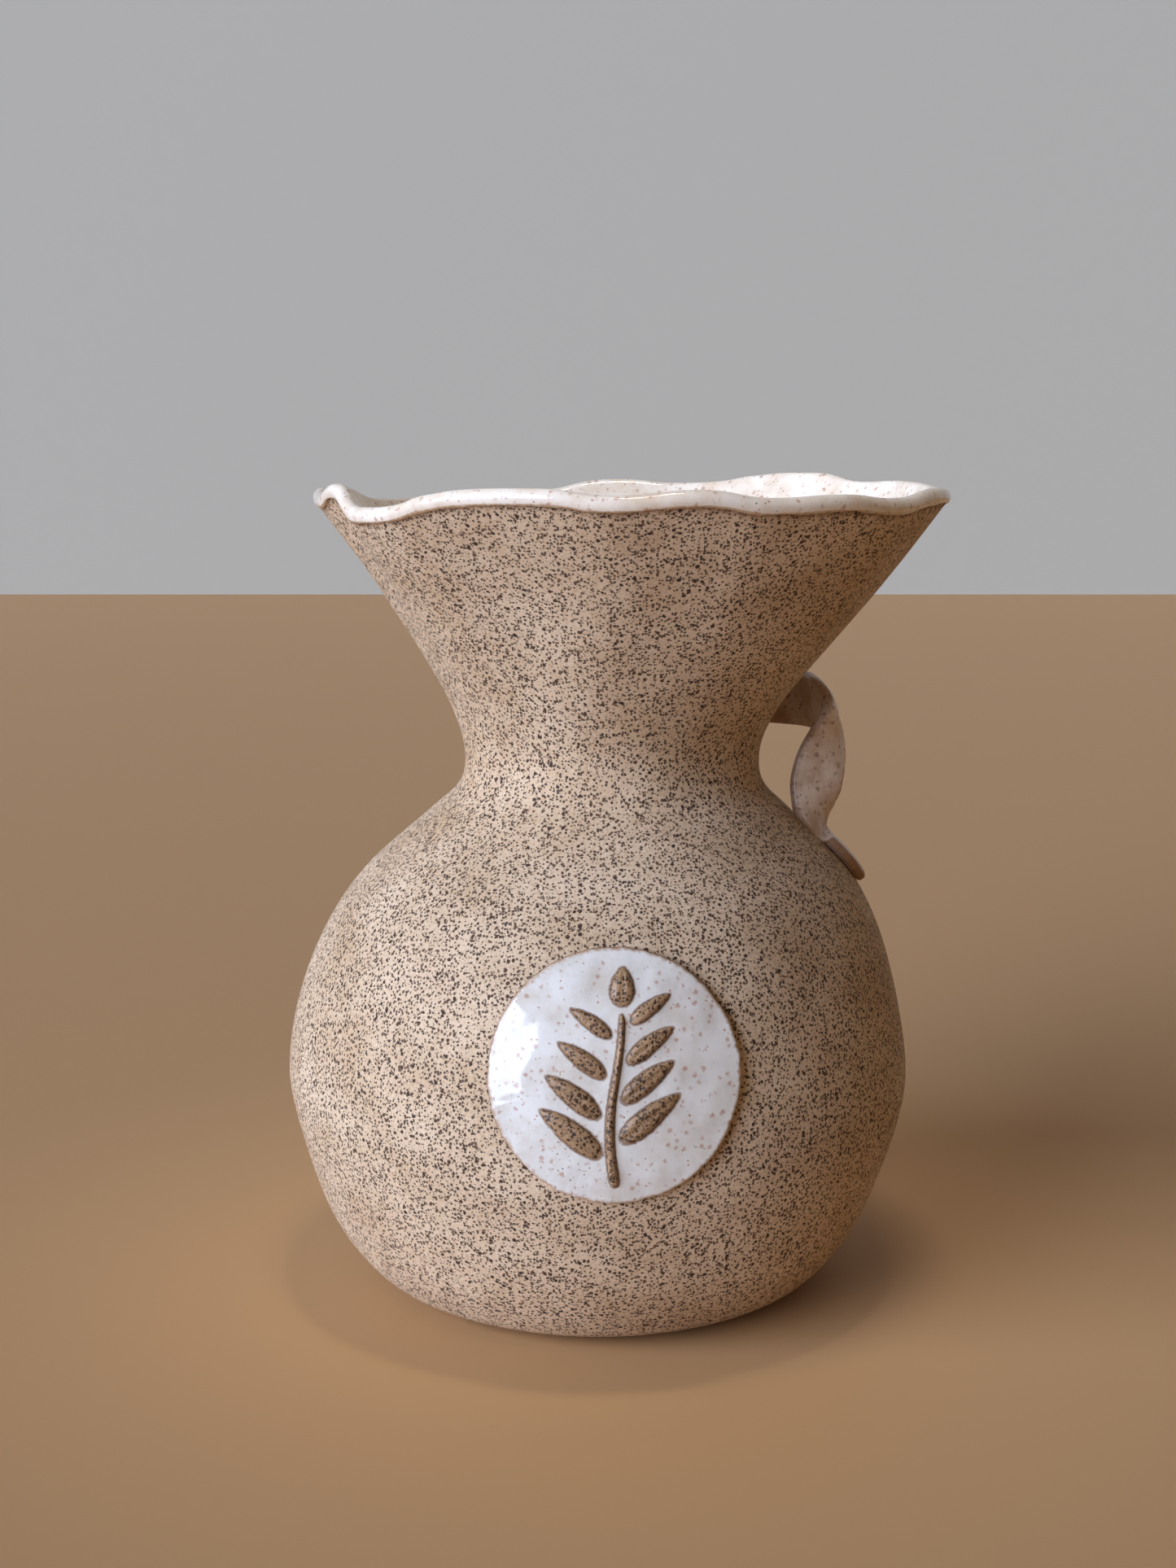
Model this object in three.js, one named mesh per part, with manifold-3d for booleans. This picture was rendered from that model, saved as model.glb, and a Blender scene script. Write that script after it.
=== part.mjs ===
// A handmade stoneware jug: a round bulb, a tight neck and a wide flared collar with a wavy lip,
// thrown as one wall; a glaze lining rolled over the lip; a twisted strap handle; and an applied
// medallion with a raised leaf sprig that stands through the medallion's own glaze.
// Millimetres, +Z up. The origin is the centre of the foot, the medallion faces -Y and the
// handle is at +X. Azimuths are in degrees from +X towards +Y.
import * as THREE from 'three';
import { mergeVertices } from 'three/addons/utils/BufferGeometryUtils.js';
import Module from 'manifold-3d';

const wasm = await Module();
wasm.setup();

// The thrown wall: radius and height up the outside, from the foot to the top of the collar.
const FOOT_RADIUS = 54;
const OUTSIDE = [
	[ FOOT_RADIUS, 0 ], [ 65, 6 ], [ 75, 19 ], [ 82, 36 ], [ 86.5, 52 ], [ 87, 65 ], [ 83.5, 84 ],
	[ 77, 102 ], [ 67.5, 117 ], [ 51, 132.5 ], [ 42.5, 141 ], [ 41, 150 ], [ 44, 160 ],
	[ 50.5, 171 ], [ 67.3, 194 ], [ 85.2, 218.6 ],
];
const WALL = 5;
const LIP = 3.6;
const FLOOR = 7;

// Glaze coats, and the gap kept between any two touching pieces. The lining's is a little wider,
// because both faces there bend two ways.
const GLAZE = 0.7;
const GAP = 0.3;
const LINING_GAP = 0.45;
const GLAZE_DOWN_OUTSIDE = 4;

// Facets: steps up the wall, and segments round it.
const WALL_STEPS = 20;
const ROUND_STEPS = 44;

// What the hand does to the round form. The neck and then the collar lean towards the handle.
const NECK_LEAN = { by: 4.2, from: 70, to: 150 };
const COLLAR_LEAN = { by: 5, from: 148, to: 206 };
// The lip rises and falls: [ azimuth, lift ] pairs. It is pinched into a pouring lip near 180.
const LIP_WAVE = [
	[ - 180, - 0.8 ], [ - 168, - 0.4 ], [ - 158, 2.6 ], [ - 146, - 2.8 ], [ - 128, 0.8 ], [ - 107, 2.9 ],
	[ - 94, 1.3 ], [ - 80, 2.6 ], [ - 67, 0.5 ], [ - 54, 1 ], [ - 39, - 0.4 ], [ - 22, 1.4 ], [ - 4, 0.6 ],
	[ 22, 1.5 ], [ 35, 0.8 ], [ 47, 3 ], [ 62, 1.8 ], [ 80, - 0.6 ], [ 91, 0.5 ], [ 106, - 2.4 ],
	[ 128, - 3.2 ], [ 147, - 4.2 ], [ 165, - 0.4 ],
];
const WAVE_FROM = 165;
const WAVE_TO = 218.6;
// Finger presses: azimuth and height of the middle, depth, and half size round and up.
const PRESSES = [
	{ azimuth: - 116, height: 188, depth: 2.2, round: 12, up: 15 },
	{ azimuth: - 132, height: 151, depth: 1.8, round: 16, up: 9 },
	{ azimuth: - 48, height: 151, depth: 1.2, round: 16, up: 9 },
	{ azimuth: 178, height: 46, depth: 1, round: 22, up: 12 },
	{ azimuth: - 157, height: 218, depth: 1.2, round: 9, up: 14 },
	{ azimuth: 176, height: 218, depth: - 1, round: 9, up: 14 },
];

// The strap handle is a twisted ribbon that starts and ends flat on the wall.
const STRAP_WIDTH = 16;
const STRAP_THICKNESS = 3.8;
const STRAP_CLEAR = 0.8;
const STRAP_STEPS = 30;
const STRAP_SIDES = 12;

// The medallion, pressed on to the belly: disc, glaze round the relief, and the relief itself.
const MEDALLION = { azimuth: - 88.2, height: 81.5, radius: 32, thickness: 1.1 };
const MEDALLION_GLAZE = 0.6;
const WINDOW_GAP = 0.7;
const RELIEF_HEIGHT = 1.7;
const SPRIG_STEM = { from: - 27, to: 15, width: 2.8, sway: 1.6 };
const SPRIG_LEAVES = 4;
const SPRIG_LEAF = { length: 20, width: 6.2, spacing: 9.6, first: - 20, angle: 47 };
const SPRIG_BUD = { length: 10.5, width: 6.2 };

const smoothRise = ( value, from, to ) => THREE.MathUtils.smoothstep( value, from, to );
const degrees = THREE.MathUtils.radToDeg;
const radians = THREE.MathUtils.degToRad;

// The shortest way round from one azimuth to another, in degrees.
function turnBetween( from, to ) {

	return THREE.MathUtils.euclideanModulo( to - from + 180, 360 ) - 180;

}

// The lip's lift at an azimuth: a cosine ease between neighbouring points of the wave.
function lipLift( azimuth ) {

	const last = LIP_WAVE.length - 1;
	let i = LIP_WAVE.findLastIndex( ( [ at ] ) => at <= azimuth );
	if ( i < 0 ) i = last;
	const [ start, low ] = LIP_WAVE[ i ];
	const [ end, high ] = LIP_WAVE[ i === last ? 0 : i + 1 ];
	const share = Math.abs( turnBetween( start, azimuth ) ) / Math.abs( turnBetween( start, end ) );
	return low + ( high - low ) * ( 1 - Math.cos( Math.PI * share ) ) / 2;

}

function leanAt( height, lean ) {

	return lean.by * smoothRise( height, lean.from, lean.to );

}

// Moves a point of the true round form to where the hand left it.
function shapeByHand( point ) {

	const azimuth = degrees( Math.atan2( point.y, point.x ) );
	const radius = Math.hypot( point.x, point.y );
	let pressed = 0;
	for ( const press of PRESSES ) {

		const round = turnBetween( press.azimuth, azimuth ) / press.round;
		const up = ( point.z - press.height ) / press.up;
		pressed += press.depth * Math.exp( - round * round - up * up );

	}

	// Nothing moves on the axis, so that the floor stays whole.
	const scale = radius > 1 ? ( radius - pressed ) / radius : 1;
	const lean = leanAt( point.z, NECK_LEAN ) + leanAt( point.z, COLLAR_LEAN );
	const lift = lipLift( azimuth ) * smoothRise( point.z, WAVE_FROM, WAVE_TO );
	return new THREE.Vector3( point.x * scale + lean, point.y * scale, point.z + lift );

}

// The outside of the wall, as evenly spaced points up its curve.
const outsidePoints = OUTSIDE.map( ( [ radius, height ] ) => new THREE.Vector2( radius, height ) );
const wallCurve = new THREE.SplineCurve( outsidePoints );
const FINE_STEPS = 500;
const wallPoints = wallCurve.getSpacedPoints( FINE_STEPS );
const wallStep = wallCurve.getLength() / FINE_STEPS;

function radiusAt( height ) {

	const i = Math.max( 1, wallPoints.findIndex( ( point ) => point.y > height ) );
	const low = wallPoints[ i - 1 ];
	const high = wallPoints[ i ];
	return THREE.MathUtils.mapLinear( height, low.y, high.y, low.x, high.x );

}

function wallAt( azimuth, height ) {

	const radius = radiusAt( height );
	const angle = radians( azimuth );
	return shapeByHand( new THREE.Vector3( radius * Math.cos( angle ), radius * Math.sin( angle ), height ) );

}

// A point standing off the wall, with the directions round, up and out of the wall there.
function wallFrame( azimuth, height, standOff ) {

	const around = wallAt( azimuth + 0.5, height ).sub( wallAt( azimuth - 0.5, height ) ).normalize();
	const up = wallAt( azimuth, height + 0.5 ).sub( wallAt( azimuth, height - 0.5 ) ).normalize();
	const out = around.clone().cross( up ).normalize();
	const point = wallAt( azimuth, height ).addScaledVector( out, standOff );
	return { point, around, up, out };

}

// Moves every point of a geometry by a rule, then joins the points that meet.
function reshape( geometry, rule ) {

	geometry.deleteAttribute( 'normal' );
	geometry.deleteAttribute( 'uv' );
	const position = geometry.attributes.position;
	const point = new THREE.Vector3();
	for ( let i = 0; i < position.count; i ++ ) {

		point.fromBufferAttribute( position, i );
		position.setXYZ( i, ...rule( point ).toArray() );

	}

	return withoutSlivers( mergeVertices( geometry, 1e-3 ) );

}

// Drops the triangles that have shrunk to a line, as those at a pole do.
function withoutSlivers( geometry ) {

	const index = geometry.index.array;
	const kept = [];
	for ( let i = 0; i < index.length; i += 3 ) {

		const [ a, b, c ] = index.slice( i, i + 3 );
		if ( a !== b && b !== c && c !== a ) kept.push( a, b, c );

	}

	geometry.setIndex( kept );
	return geometry;

}

function toSolid( geometry ) {

	const vertProperties = new Float32Array( geometry.attributes.position.array );
	const triVerts = new Uint32Array( geometry.index.array );
	return new wasm.Manifold( new wasm.Mesh( { numProp: 3, vertProperties, triVerts } ) );

}

function fromSolid( solid ) {

	const mesh = solid.getMesh();
	const geometry = new THREE.BufferGeometry();
	geometry.setAttribute( 'position', new THREE.BufferAttribute( mesh.vertProperties, 3 ) );
	geometry.setIndex( new THREE.BufferAttribute( mesh.triVerts, 1 ) );
	return geometry;

}

// A line moved sideways by a distance, to its left as it is walked, with its corners mitred.
function moveSideways( line, distance ) {

	return line.map( ( point, i ) => {

		const before = line[ Math.max( 0, i - 1 ) ];
		const after = line[ Math.min( line.length - 1, i + 1 ) ];
		const arriving = point.clone().sub( before ).normalize();
		const leaving = after.clone().sub( point ).normalize();
		const along = arriving.add( leaving ).normalize();
		const mitre = leaving.length() > 0 && i > 0 ? Math.abs( along.dot( leaving ) ) : 1;
		return new THREE.Vector2( point.x - along.y * distance / mitre, point.y + along.x * distance / mitre );

	} );

}

// The wall's section, walked up the outside, over the lip and down the inside to the axis. The
// outside has a point of its own at the glaze line, where the lining that comes over the lip ends.
const wallTop = wallPoints[ FINE_STEPS ];
const glazeLine = wallPoints[ FINE_STEPS - Math.round( GLAZE_DOWN_OUTSIDE / wallStep ) ];
const outside = [ ...wallCurve.getSpacedPoints( WALL_STEPS ).slice( 0, - 1 ), glazeLine, wallTop ];
const inside = outside.map( ( point, i ) => {

	const before = outside[ Math.max( 0, i - 1 ) ];
	const after = outside[ Math.min( outside.length - 1, i + 1 ) ];
	const along = after.clone().sub( before ).normalize();
	const thickness = THREE.MathUtils.lerp( WALL, LIP, smoothRise( point.y, 150, WAVE_TO ) );
	return new THREE.Vector2( point.x - along.y * thickness, point.y + along.x * thickness );

} );

// A half round from the top of the outside to the top of the inside.
function lipPoints() {

	const middle = wallTop.clone().add( inside.at( - 1 ) ).multiplyScalar( 0.5 );
	const arm = wallTop.clone().sub( middle );
	const centre = new THREE.Vector2();
	return [ 45, 90, 135 ].map( ( turn ) => arm.clone().rotateAround( centre, radians( turn ) ).add( middle ) );

}

const innerWall = inside.filter( ( point ) => point.y > FLOOR + 4 ).reverse();
const floorLine = [ 44, 22, 0 ].map( ( radius ) => new THREE.Vector2( radius, FLOOR ) );
const lip = lipPoints();
const claySection = [
	new THREE.Vector2( 0, 0 ), new THREE.Vector2( FOOT_RADIUS / 2, 0 ),
	...outside, ...lip, ...innerWall, ...floorLine,
];

// Spins a section round the axis, stands it upright and shapes it by hand.
function spin( section ) {

	const geometry = new THREE.LatheGeometry( section, ROUND_STEPS );
	geometry.rotateX( Math.PI / 2 );
	return reshape( geometry, shapeByHand );

}

// The lining follows the clay from the middle of the floor, up, over the lip and a little way down.
function liningSection() {

	const clay = [ glazeLine, wallTop, ...lip, ...innerWall, ...floorLine ];
	const near = moveSideways( clay, - LINING_GAP );
	const far = moveSideways( clay, - LINING_GAP - GLAZE );
	near.at( - 1 ).x = 0;
	far.at( - 1 ).x = 0;
	return [ ...near.reverse(), ...far ];

}

// The strap's middle line and the way its width points, from the collar to the tail on the shoulder.
function strapStations() {

	const standOff = STRAP_THICKNESS / 2 + GAP + STRAP_CLEAR;
	const onCollar = [ [ 72, 161 ], [ 60, 162 ], [ 49, 162 ] ].map( ( [ azimuth, height ] ) => {

		const { point, up } = wallFrame( azimuth, height, standOff );
		return { point, width: up.negate() };

	} );
	const free = [
		{ point: new THREE.Vector3( 56, 26, 161 ), width: new THREE.Vector3( - 0.2, - 0.1, - 1 ) },
		{ point: new THREE.Vector3( 63, 17, 160 ), width: new THREE.Vector3( 0.1, 0.1, - 1 ) },
		{ point: new THREE.Vector3( 66.4, 9.5, 157.5 ), width: new THREE.Vector3( 0.25, 0.7, - 0.65 ) },
		{ point: new THREE.Vector3( 65, 5, 152 ), width: new THREE.Vector3( 0.62, 0.65, - 0.4 ) },
		{ point: new THREE.Vector3( 63, 2.2, 146 ), width: new THREE.Vector3( 0.86, 0.42, - 0.3 ) },
		{ point: new THREE.Vector3( 61.6, 0.4, 139.5 ), width: new THREE.Vector3( 0.92, 0.36, - 0.15 ) },
		{ point: new THREE.Vector3( 62.6, 0.4, 133 ), width: new THREE.Vector3( 0.74, 0.66, 0.1 ) },
	];
	const onShoulder = [ [ 2, 126 ], [ 2, 119 ], [ 2, 112 ] ].map( ( [ azimuth, height ] ) => {

		const { point, around } = wallFrame( azimuth, height, standOff );
		return { point, width: around };

	} );
	return [ ...onCollar, ...free, ...onShoulder ];

}

// A drum's side becomes the strap: its height runs along the strap, its round becomes the section.
function strapGeometry() {

	const stations = strapStations();
	const middle = new THREE.CatmullRomCurve3( stations.map( ( station ) => station.point ) );
	const width = new THREE.CatmullRomCurve3( stations.map( ( station ) => station.width ) );
	const drum = new THREE.CylinderGeometry( 1, 1, 1, STRAP_SIDES, STRAP_STEPS );
	const squarer = ( value ) => Math.sign( value ) * Math.sqrt( Math.abs( value ) );
	return reshape( drum, ( point ) => {

		const along = 0.5 - point.y;
		const forward = middle.getTangent( along );
		const across = width.getPoint( along );
		across.addScaledVector( forward, - across.dot( forward ) ).normalize();
		const out = forward.clone().cross( across );
		return middle.getPoint( along )
			.addScaledVector( across, squarer( point.x ) * STRAP_WIDTH / 2 )
			.addScaledVector( out, squarer( point.z ) * STRAP_THICKNESS / 2 );

	} );

}

// Lays a flat design on the belly: x and y are lengths round and up from the medallion's middle,
// and z is the height above the wall.
const medallionMiddle = wallPoints.findIndex( ( point ) => point.y > MEDALLION.height );

function layOnBelly( flat ) {

	const step = medallionMiddle + flat.y / wallStep;
	const below = Math.floor( step );
	const { x: radius, y: height } = wallPoints[ below ].clone().lerp( wallPoints[ below + 1 ], step - below );
	return wallFrame( MEDALLION.azimuth + degrees( flat.x / radius ), height, flat.z ).point;

}

// A round plate laid on the belly, from one height above the wall to another, with a soft edge.
function plateGeometry( radius, from, to, edge ) {

	const rings = [ 0, 0.2, 0.4, 0.6, 0.8 ].map( ( share ) => share * radius );
	const under = [ ...rings, radius - edge * 0.3 ].map( ( ring ) => new THREE.Vector2( ring, from ) );
	const rim = new THREE.Vector2( radius, ( from + to ) / 2 );
	const over = [ ...rings, radius - edge ].map( ( ring ) => new THREE.Vector2( ring, to ) ).reverse();
	const geometry = new THREE.LatheGeometry( [ ...under, rim, ...over ], ROUND_STEPS );
	geometry.rotateX( Math.PI / 2 );
	return reshape( geometry, layOnBelly );

}

// A leaf or bud: a ball squashed on to the belly, pointed at its tip, growing from a point at an
// angle from upright. A margin makes the larger shape that its window in the glaze is cut with.
function leafGeometry( leaf, margin = 0 ) {

	const floor = GAP + MEDALLION.thickness + GAP - margin;
	const ball = new THREE.SphereGeometry( 1, 12, 6 );
	ball.rotateX( Math.PI / 2 );
	const turn = radians( leaf.angle );
	return reshape( ball, ( point ) => {

		const along = leaf.length / 2 + point.y * ( leaf.length / 2 + margin );
		const pointed = 1 - 0.3 * point.y - 0.25 * point.y * point.y;
		const across = point.x * ( leaf.width / 2 * pointed + margin );
		const bend = leaf.curl * ( along / leaf.length ) ** 2;
		const x = leaf.x + along * Math.sin( turn ) + ( across + bend ) * Math.cos( turn );
		const y = leaf.y + along * Math.cos( turn ) - ( across + bend ) * Math.sin( turn );
		const height = Math.max( 0, point.z ) * ( RELIEF_HEIGHT + 2 * margin );
		return layOnBelly( new THREE.Vector3( x, y, floor + height ) );

	} );

}

function stemSway( height ) {

	return SPRIG_STEM.sway * Math.sin( height / 9 );

}

function stemGeometry( margin = 0 ) {

	const floor = GAP + MEDALLION.thickness + GAP - margin;
	const drum = new THREE.CylinderGeometry( 1, 1, 1, 8, 12 );
	const middle = ( SPRIG_STEM.from + SPRIG_STEM.to ) / 2;
	const length = SPRIG_STEM.to - SPRIG_STEM.from + 2 * margin;
	return reshape( drum, ( point ) => {

		const y = middle + point.y * length;
		const taper = 1 - 0.5 * ( point.y + 0.5 );
		const x = stemSway( y ) + point.x * ( SPRIG_STEM.width / 2 * taper + margin );
		const height = Math.max( 0, point.z ) * ( RELIEF_HEIGHT * 0.85 + 2 * margin );
		return layOnBelly( new THREE.Vector3( x, y, floor + height ) );

	} );

}

// The sprig: leaves in pairs up both sides of the stem, and a bud at its tip.
function sprigLeaves() {

	const leaves = [];
	for ( let i = 0; i < SPRIG_LEAVES; i ++ ) {

		for ( const side of [ - 1, 1 ] ) {

			const y = SPRIG_LEAF.first + i * SPRIG_LEAF.spacing + ( side > 0 ? SPRIG_LEAF.spacing * 0.35 : 0 );
			const clear = SPRIG_STEM.width / 2 + 1;
			const size = 1 - 0.12 * i;
			leaves.push( {
				name: `sprig_leaf_${ side < 0 ? 'left' : 'right' }_${ i + 1 }`,
				x: stemSway( y ) + side * clear,
				y,
				length: SPRIG_LEAF.length * size,
				width: SPRIG_LEAF.width * size,
				angle: side * SPRIG_LEAF.angle,
				curl: side * 1.6,
			} );

		}

	}

	return leaves;

}

const BUD_CLEAR = 1.2;
const leaves = sprigLeaves();
const bud = {
	name: 'sprig_bud',
	x: stemSway( SPRIG_STEM.to ),
	y: SPRIG_STEM.to + BUD_CLEAR,
	angle: 4,
	curl: 0,
	...SPRIG_BUD,
};

// The medallion's glaze pools round the relief, so each raised piece stands in a window of it.
function medallionGlazeGeometry() {

	const from = GAP + MEDALLION.thickness + GAP;
	const plate = plateGeometry( MEDALLION.radius - 0.8, from, from + MEDALLION_GLAZE, 0.8 );
	let coat = toSolid( plate );
	for ( const leaf of [ ...leaves, bud ] ) coat = coat.subtract( toSolid( leafGeometry( leaf, WINDOW_GAP ) ) );
	coat = coat.subtract( toSolid( stemGeometry( WINDOW_GAP ) ) );
	return fromSolid( coat );

}

const bareClay = { color: 0xb39b80, roughness: 0.9, metalness: 0 };
const reliefClay = { color: 0x8a6a4a, roughness: 0.55, metalness: 0 };
const whiteGlaze = { color: 0xe9e4de, roughness: 0.2, metalness: 0 };
const strapGlaze = { color: 0xc9b6a4, roughness: 0.35, metalness: 0 };

const jug = new THREE.Group();

function addPiece( name, geometry, finish ) {

	const piece = new THREE.Mesh( geometry, new THREE.MeshStandardMaterial( finish ) );
	piece.name = name;
	jug.add( piece );

}

addPiece( 'stoneware_body', spin( claySection ), bareClay );
addPiece( 'liner_glaze', spin( liningSection() ), whiteGlaze );
addPiece( 'handle_strap', strapGeometry(), strapGlaze );
addPiece( 'medallion_disc', plateGeometry( MEDALLION.radius, GAP, GAP + MEDALLION.thickness, 1 ), bareClay );
addPiece( 'medallion_glaze', medallionGlazeGeometry(), whiteGlaze );
addPiece( 'sprig_stem', stemGeometry(), reliefClay );
for ( const leaf of [ ...leaves, bud ] ) addPiece( leaf.name, leafGeometry( leaf ), reliefClay );

export default jug;
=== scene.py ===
import math
import bmesh
import bpy
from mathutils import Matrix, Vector
from mathutils.bvhtree import BVHTree


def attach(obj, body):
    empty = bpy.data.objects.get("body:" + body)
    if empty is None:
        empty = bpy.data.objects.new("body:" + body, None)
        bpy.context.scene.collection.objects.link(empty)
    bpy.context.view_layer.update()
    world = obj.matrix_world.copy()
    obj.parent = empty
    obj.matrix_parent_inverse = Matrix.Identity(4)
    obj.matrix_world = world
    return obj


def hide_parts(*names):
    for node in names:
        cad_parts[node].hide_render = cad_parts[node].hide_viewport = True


# A thrown stoneware jug with a wavy collar, a white glaze lining, a ribbon handle and a pressed medallion.
# Lengths in the dictionaries are millimetres unless they say mm, and the studio's are metres. Azimuths are
# degrees from +X towards +Y.
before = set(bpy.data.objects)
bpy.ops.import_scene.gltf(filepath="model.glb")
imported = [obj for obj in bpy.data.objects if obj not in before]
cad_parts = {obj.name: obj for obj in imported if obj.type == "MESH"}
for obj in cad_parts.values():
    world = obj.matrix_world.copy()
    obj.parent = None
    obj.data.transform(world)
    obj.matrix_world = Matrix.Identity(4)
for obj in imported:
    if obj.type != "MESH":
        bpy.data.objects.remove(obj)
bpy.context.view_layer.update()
mm = 0.001
scene = bpy.context.scene


def linear(hexColour, alpha=1.0):
    channels = [int(hexColour[i:i + 2], 16) / 255 for i in (1, 3, 5)]
    return tuple(c / 12.92 if c <= 0.04045 else ((c + 0.055) / 1.055) ** 2.4 for c in channels) + (alpha,)


# Adds a node by its short kind. Its inputs are values, sockets, or nodes, whose first output is linked.
def add(tree, kind, inputs=(), **settings):
    full = next(p + kind for p in ("ShaderNode", "GeometryNode", "") if hasattr(bpy.types, p + kind))
    made = tree.nodes.new(full)
    for name, value in settings.items():
        setattr(made, name, value)
    for socket, value in inputs.items() if isinstance(inputs, dict) else enumerate(inputs):
        if isinstance(value, bpy.types.Node):
            value = value.outputs[0]
        if isinstance(value, bpy.types.NodeSocket):
            tree.links.new(value, made.inputs[socket])
        else:
            made.inputs[socket].default_value = value
    return made


def startTree(name, wanted):
    tree = bpy.data.node_groups.new(name, "GeometryNodeTree")
    tree.interface.new_socket("Geometry", in_out="OUTPUT", socket_type="NodeSocketGeometry")
    for label, kind in wanted.items():
        tree.interface.new_socket(label, in_out="INPUT", socket_type="NodeSocket" + kind)
    return tree, add(tree, "NodeGroupInput").outputs


def endTree(tree, geometry, material):
    smooth = add(tree, "SetShadeSmooth", [geometry])
    whole = add(tree, "RealizeInstances", [smooth])
    finished = add(tree, "SetMaterial", {"Geometry": whole, "Material": material})
    add(tree, "NodeGroupOutput", [finished])
    return tree


# Runs a tree on an empty carrier, and keeps the result as a plain closed mesh.
def runTree(name, tree, values):
    carrier = bpy.data.objects.new(name + "Carrier", bpy.data.meshes.new(name + "Carrier"))
    scene.collection.objects.link(carrier)
    modifier = carrier.modifiers.new(tree.name, "NODES")
    modifier.node_group = tree
    for item in tree.interface.items_tree:
        if item.in_out == "INPUT" and item.name in values:
            modifier[item.identifier] = values[item.name]
    depsgraph = bpy.context.evaluated_depsgraph_get()
    mesh = bpy.data.meshes.new_from_object(carrier.evaluated_get(depsgraph), depsgraph=depsgraph)
    carrier.modifiers.clear()
    bpy.data.objects.remove(carrier)
    mesh.name = name
    closed = bmesh.new()
    closed.from_mesh(mesh)
    bmesh.ops.recalc_face_normals(closed, faces=closed.faces)
    closed.to_mesh(mesh)
    closed.free()
    made = bpy.data.objects.new(name, mesh)
    scene.collection.objects.link(made)
    return made


# Runs a tree on a section, which it uses up.
def shapeSection(name, tree, section, values):
    made = runTree(name, tree, {**values, "Section": section, "Stations": len(section.data.vertices)})
    bpy.data.objects.remove(section)
    return made


# A flat grid whose columns stand for a section's stations and whose rows go once round, with what each point
# reads: its place on the flat grid, its station's number and place, and its turn's cosine and sine.
def sweep(tree, given, rows, string):
    section = add(tree, "GeometryNodeObjectInfo", [given[string]]).outputs["Geometry"]
    around = add(tree, "Math", [given[rows], 1.0], operation="ADD")
    grid = add(tree, "MeshGrid", {"Size X": 1.0, "Size Y": 1.0, "Vertices X": given["Stations"],
                                  "Vertices Y": around})
    place = add(tree, "InputPosition")
    flat = add(tree, "SeparateXYZ", [place])
    last = add(tree, "Math", [given["Stations"], 1.0], operation="SUBTRACT")
    along = add(tree, "Math", [flat.outputs[0], 0.5], operation="ADD")
    step = add(tree, "Math", [add(tree, "Math", [along, last], operation="MULTIPLY")], operation="ROUND")
    station = add(tree, "SampleIndex", {"Geometry": section, "Value": place, "Index": step},
                  data_type="FLOAT_VECTOR")
    turn = add(tree, "Math", [flat.outputs[1], 2 * math.pi], operation="MULTIPLY")
    cosine, sine = (add(tree, "Math", [turn], operation=operation) for operation in ("COSINE", "SINE"))
    return {"section": section, "grid": grid, "place": place, "row": flat.outputs[1], "along": along,
            "step": step, "station": station, "turn": turn, "cosine": cosine, "sine": sine}


# What a section's stations carry under a label, read at each point of a sweep.
def readStation(tree, swept, label, kind="FLOAT"):
    carried = add(tree, "InputNamedAttribute", {"Name": label}, data_type=kind)
    return add(tree, "SampleIndex", {"Geometry": swept["section"], "Value": carried, "Index": swept["step"]},
               data_type=kind)


# A field kept on the points under a name that materials read.
def keep(tree, geometry, label, value, kind="FLOAT"):
    return add(tree, "StoreNamedAttribute", {"Geometry": geometry, "Name": label, "Value": value},
               data_type=kind, domain="POINT")


# Noise round zero, times a strength.
def stray(tree, noise, strength):
    centred = add(tree, "Math", [noise, 0.5], operation="SUBTRACT")
    return add(tree, "Math", [centred, strength], operation="MULTIPLY")


# Puts a finished piece under the root and hides the parts that it stands for.
def handIn(piece, slot, *nodes):
    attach(piece, "root")
    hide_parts(*nodes)
    print(piece.name, "made,", len(piece.data.polygons), "faces")


# A string of stations that a tree reads by index, with what each station carries.
def stationString(points, **carried):
    mesh = bpy.data.meshes.new("stations")
    mesh.from_pydata([p.xyz for p in points], [(i, i + 1) for i in range(len(points) - 1)], [])
    for label, values in carried.items():
        isVector = isinstance(values[0], Vector)
        layer = mesh.attributes.new(label, "FLOAT_VECTOR" if isVector else "FLOAT", "POINT")
        flat = [c for v in values for c in v] if isVector else values
        layer.data.foreach_set("vector" if isVector else "value", flat)
    made = bpy.data.objects.new("stations", mesh)
    scene.collection.objects.link(made)
    return made


# A smooth line through given stations, evenly spaced, or closer together at its ends if eased.
def smoothLine(points, count, ease=0.0):
    padded = [points[0] * 2 - points[1], *points, points[-1] * 2 - points[-2]]
    fine = []
    for a, b, c, d in zip(padded, padded[1:], padded[2:], padded[3:]):
        for k in range(40):
            t = k / 40
            fine.append(0.5 * (2 * b + (c - a) * t + (2 * a - 5 * b + 4 * c - d) * t * t
                               + (3 * b - a - 3 * c + d) * t ** 3))
    fine.append(points[-1])
    lengths = [0.0]
    for a, b in zip(fine, fine[1:]):
        lengths.append(lengths[-1] + (b.xyz - a.xyz).length)
    line = []
    j = 0
    for i in range(count):
        share = i / (count - 1)
        share -= ease * math.sin(2 * math.pi * share) / (2 * math.pi)
        wanted = lengths[-1] * share
        while j < len(fine) - 2 and lengths[j + 1] < wanted:
            j += 1
        line.append(fine[j].lerp(fine[j + 1], (wanted - lengths[j]) / (lengths[j + 1] - lengths[j])))
    return line


# The line moved to its left-hand side, in the x, z plane, by a distance at each of its points.
def besideLine(line, distances):
    beside = []
    for i, point in enumerate(line):
        along = (line[min(i + 1, len(line) - 1)] - line[max(i - 1, 0)]).normalized()
        beside.append(point + Vector((-along.z, 0, along.x)) * distances[i])
    return beside


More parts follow.
